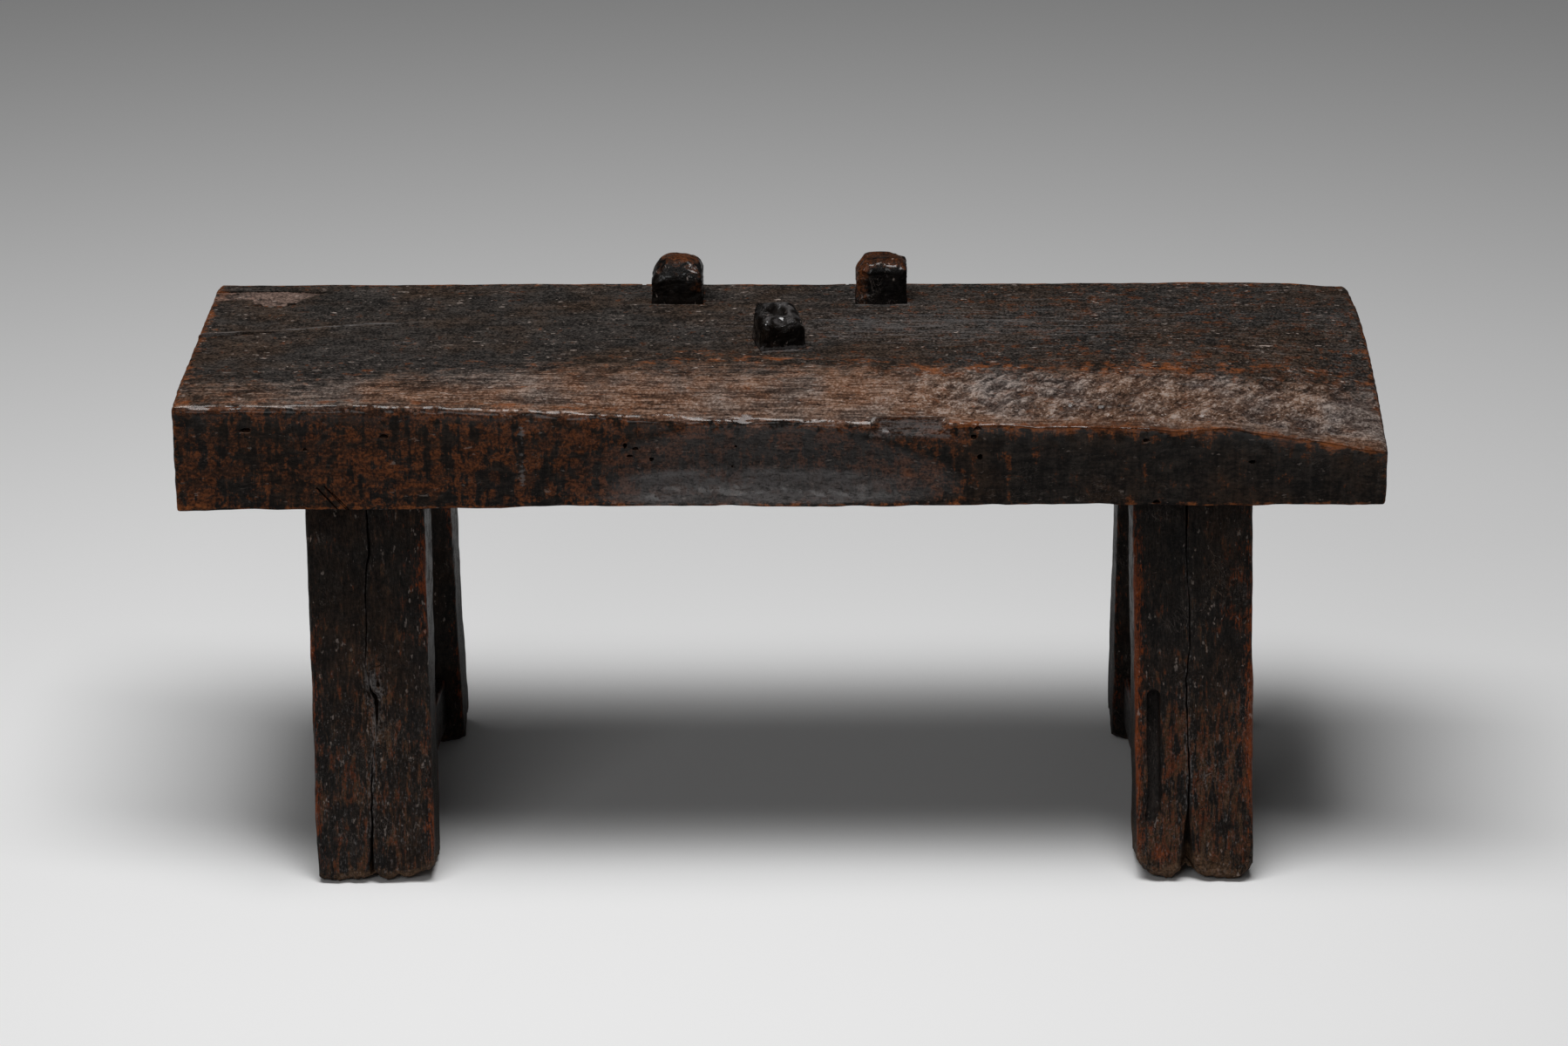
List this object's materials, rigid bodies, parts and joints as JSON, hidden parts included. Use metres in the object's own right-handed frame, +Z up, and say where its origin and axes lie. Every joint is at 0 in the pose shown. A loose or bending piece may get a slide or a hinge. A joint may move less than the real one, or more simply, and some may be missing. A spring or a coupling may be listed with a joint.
{
  "type": "low work bench",
  "caption": "Low wooden work bench: a thick worn slab on splayed plank legs tied by side stretchers, with square bench stops that slide up and down through the slab.",
  "frame": {"origin": "on the floor under the middle of the bench", "axes": "+X along the slab to the right as seen from the front, +Y to the back, +Z up"},
  "size_m": [1.005, 0.3676, 0.465],
  "materials": {
    "slab_wood": "dark worn patina",
    "leg_wood": "dark worn patina",
    "stop_wood": "dark waxy patina",
    "wedge_wood": "bare, hidden"
  },
  "bodies": {
    "bench": {"top_slab": "slab_wood", "front_left_leg": "leg_wood", "front_right_leg": "leg_wood", "back_left_leg": "leg_wood", "back_right_leg": "leg_wood", "front_left_wedge": "wedge_wood", "front_right_wedge": "wedge_wood", "back_left_wedge": "wedge_wood", "back_right_wedge": "wedge_wood", "left_stretcher": "leg_wood", "right_stretcher": "leg_wood"},
    "back_left_stop": {"back_left_stop": "stop_wood"},
    "back_right_stop": {"back_right_stop": "stop_wood"},
    "front_stop": {"front_stop": "stop_wood"}
  },
  "joints": [
    {"name": "back_left_stop_slide", "type": "slide", "parent": "bench", "child": "back_left_stop", "axis": [0, 0, 1], "range_m": [-0.038, 0.025]},
    {"name": "back_right_stop_slide", "type": "slide", "parent": "bench", "child": "back_right_stop", "axis": [0, 0, 1], "range_m": [-0.038, 0.025]},
    {"name": "front_stop_slide", "type": "slide", "parent": "bench", "child": "front_stop", "axis": [0, 0, 1], "range_m": [-0.034, 0.025]}
  ]
}
